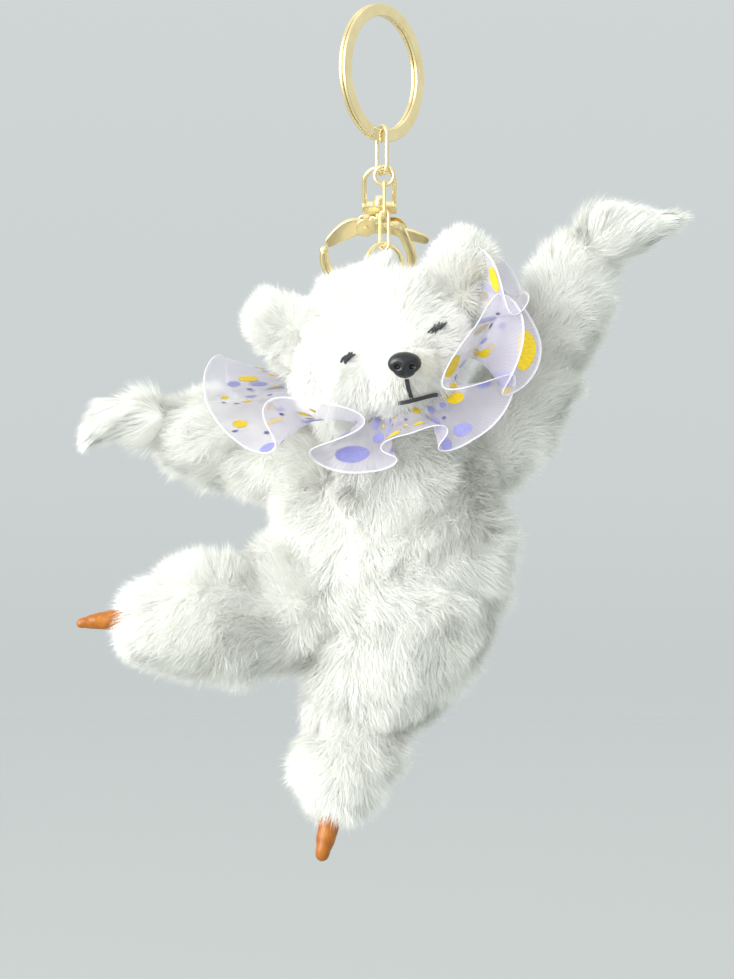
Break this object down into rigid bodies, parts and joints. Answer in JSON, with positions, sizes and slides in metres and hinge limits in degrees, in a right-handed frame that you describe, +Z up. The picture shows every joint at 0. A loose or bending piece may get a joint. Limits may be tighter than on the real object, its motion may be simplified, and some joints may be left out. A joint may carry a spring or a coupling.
{
  "type": "plush keychain",
  "caption": "White plush bear in a dancing pose with a ruffled sheer ribbon collar, hung by a small chain and a swivel lobster clasp from a split key ring.",
  "frame": {"origin": "inner top of the key ring, where a peg or hook holds it up", "axes": "+Z up, the bear faces -Y, +X towards the bear's left side"},
  "size_m": [0.1319, 0.0622, 0.1865],
  "materials": {
    "key_ring": "polished pale gold plating",
    "ring_link": "polished pale gold plating",
    "clasp_bail": "polished pale gold plating",
    "clasp_body": "polished pale gold plating",
    "swivel_post": "polished pale gold plating",
    "gate_pin": "polished pale gold plating",
    "gate_spring": "drawn steel",
    "clasp_gate": "polished pale gold plating",
    "chain_ring": "polished pale gold plating",
    "chain_link_upper": "polished pale gold plating",
    "chain_link_lower": "polished pale gold plating",
    "head_ring": "polished pale gold plating",
    "head_skin": "long-pile white faux fur",
    "head_stuffing": "polyester fibre fill",
    "neck_wire": "drawn steel",
    "head_loop": "drawn steel",
    "nose": "moulded gloss black",
    "nose_washer": "drawn steel",
    "ear_right": "long-pile white faux fur",
    "ear_left": "long-pile white faux fur",
    "eye_stitch_right": "black embroidery thread",
    "eye_stitch_left": "black embroidery thread",
    "mouth_stitch": "black embroidery thread",
    "collar_ribbon": "sheer lilac ribbon with white woven edges and printed dots",
    "collar_thread": "sewing thread",
    "torso_skin": "long-pile white faux fur",
    "torso_stuffing": "polyester fibre fill",
    "spine_wire": "drawn steel",
    "shoulder_wire": "drawn steel",
    "arm_right_skin": "long-pile white faux fur",
    "arm_right_stuffing": "polyester fibre fill",
    "arm_wire_right": "drawn steel",
    "arm_left_skin": "long-pile white faux fur",
    "arm_left_stuffing": "polyester fibre fill",
    "arm_wire_left": "drawn steel",
    "paw_right": "long-pile white faux fur",
    "paw_left": "long-pile white faux fur",
    "leg_right_skin": "long-pile white faux fur",
    "leg_right_stuffing": "polyester fibre fill",
    "leg_wire_right": "drawn steel",
    "toe_right": "glossy orange-tan leather look",
    "leg_left_skin": "long-pile white faux fur",
    "leg_left_stuffing": "polyester fibre fill",
    "leg_wire_left": "drawn steel",
    "toe_left": "glossy orange-tan leather look"
  },
  "bodies": {
    "key_ring": {"key_ring": "key_ring"},
    "ring_link": {"ring_link": "ring_link"},
    "bail": {"clasp_bail": "clasp_bail"},
    "clasp": {"clasp_body": "clasp_body", "swivel_post": "swivel_post", "gate_pin": "gate_pin", "gate_spring": "gate_spring"},
    "gate": {"clasp_gate": "clasp_gate"},
    "chain_ring": {"chain_ring": "chain_ring"},
    "chain_link_upper": {"chain_link_upper": "chain_link_upper"},
    "chain_link_lower": {"chain_link_lower": "chain_link_lower"},
    "head_ring": {"head_ring": "head_ring"},
    "head": {"head_skin": "head_skin", "head_stuffing": "head_stuffing", "neck_wire": "neck_wire", "head_loop": "head_loop", "nose": "nose", "nose_washer": "nose_washer", "ear_right": "ear_right", "ear_left": "ear_left", "eye_stitch_right": "eye_stitch_right", "eye_stitch_left": "eye_stitch_left", "mouth_stitch": "mouth_stitch", "collar_ribbon": "collar_ribbon", "collar_thread": "collar_thread"},
    "torso": {"torso_skin": "torso_skin", "torso_stuffing": "torso_stuffing", "spine_wire": "spine_wire", "shoulder_wire": "shoulder_wire"},
    "arm_right": {"arm_right_skin": "arm_right_skin", "arm_right_stuffing": "arm_right_stuffing", "arm_wire_right": "arm_wire_right"},
    "arm_left": {"arm_left_skin": "arm_left_skin", "arm_left_stuffing": "arm_left_stuffing", "arm_wire_left": "arm_wire_left"},
    "paw_right": {"paw_right": "paw_right"},
    "paw_left": {"paw_left": "paw_left"},
    "leg_right": {"leg_right_skin": "leg_right_skin", "leg_right_stuffing": "leg_right_stuffing", "leg_wire_right": "leg_wire_right", "toe_right": "toe_right"},
    "leg_left": {"leg_left_skin": "leg_left_skin", "leg_left_stuffing": "leg_left_stuffing", "leg_wire_left": "leg_wire_left", "toe_left": "toe_left"}
  },
  "joints": [
    {"name": "link_swing", "type": "hinge", "parent": "key_ring", "child": "ring_link", "pos_m": [0, 0, -0.02595], "axis": [0.5798, 0.8147, 0], "range_deg": [-20, 20]},
    {"name": "bail_swing", "type": "hinge", "parent": "ring_link", "child": "bail", "pos_m": [-0.00056, 0.00096, -0.034], "axis": [0.5058, -0.8627, 0], "range_deg": [0, 24]},
    {"name": "clasp_swivel", "type": "hinge", "parent": "bail", "child": "clasp", "pos_m": [-0.00056, 0.00096, -0.034], "axis": [0, 0.5, -0.866], "range_deg": [-20, 20]},
    {"name": "gate_open", "type": "hinge", "parent": "clasp", "child": "gate", "pos_m": [-0.00346, 0.00721, -0.04483], "axis": [0, -0.866, -0.5], "range_deg": [0, 15], "stiffness_Nm_per_rad": 0.002, "springref_deg": -28.65, "deforming": ["gate_spring"]},
    {"name": "chain_ring_swing", "type": "hinge", "parent": "ring_link", "child": "chain_ring", "pos_m": [0.0005, -0.00084, -0.03387], "axis": [0.5058, -0.8627, 0], "range_deg": [-6, 3]},
    {"name": "upper_link_swing", "type": "hinge", "parent": "chain_ring", "child": "chain_link_upper", "pos_m": [0.0005, -0.00084, -0.03674], "axis": [1, 0, 0], "range_deg": [-20, 3]},
    {"name": "lower_link_swing", "type": "hinge", "parent": "chain_link_upper", "child": "chain_link_lower", "pos_m": [0.0005, -0.00084, -0.0435], "axis": [0, 1, 0], "range_deg": [-20, 20]},
    {"name": "head_ring_swing", "type": "hinge", "parent": "chain_link_lower", "child": "head_ring", "pos_m": [0.0005, -0.00084, -0.0507], "axis": [0.8189, -0.5739, 0], "range_deg": [-20, 6]},
    {"name": "head_swing", "type": "hinge", "parent": "head_ring", "child": "head", "pos_m": [0.0005, -0.00084, -0.05817], "axis": [0.8832, 0.4691, 0], "range_deg": [-20, 7]},
    {"name": "neck_turn", "type": "hinge", "parent": "head", "child": "torso", "pos_m": [0.00065, -0.003, -0.0703], "axis": [-0.1, -0.1701, 0.9803], "range_deg": [-11, 9]},
    {"name": "shoulder_right", "type": "hinge", "parent": "torso", "child": "arm_right", "pos_m": [-0.015, 0.006, -0.098], "axis": [0, 1, 0], "range_deg": [-12, 4]},
    {"name": "shoulder_left", "type": "hinge", "parent": "torso", "child": "arm_left", "pos_m": [0.024, 0.008, -0.094], "axis": [0, 1, 0], "range_deg": [-3, 45]},
    {"name": "wrist_right", "type": "hinge", "parent": "arm_right", "child": "paw_right", "pos_m": [-0.042, 0.009, -0.0903], "axis": [0, 1, 0], "range_deg": [-25, 25]},
    {"name": "wrist_left", "type": "hinge", "parent": "arm_left", "child": "paw_left", "pos_m": [0.0428, 0.011, -0.054], "axis": [0, 1, 0], "range_deg": [-25, 25]},
    {"name": "hip_right", "type": "hinge", "parent": "torso", "child": "leg_right", "pos_m": [-0.017, 0.002, -0.131], "axis": [0, 1, 0], "range_deg": [-25, 2]},
    {"name": "hip_left", "type": "hinge", "parent": "torso", "child": "leg_left", "pos_m": [-0.004, 0.003, -0.1545], "axis": [1, 0, 0], "range_deg": [-20, 25]}
  ]
}
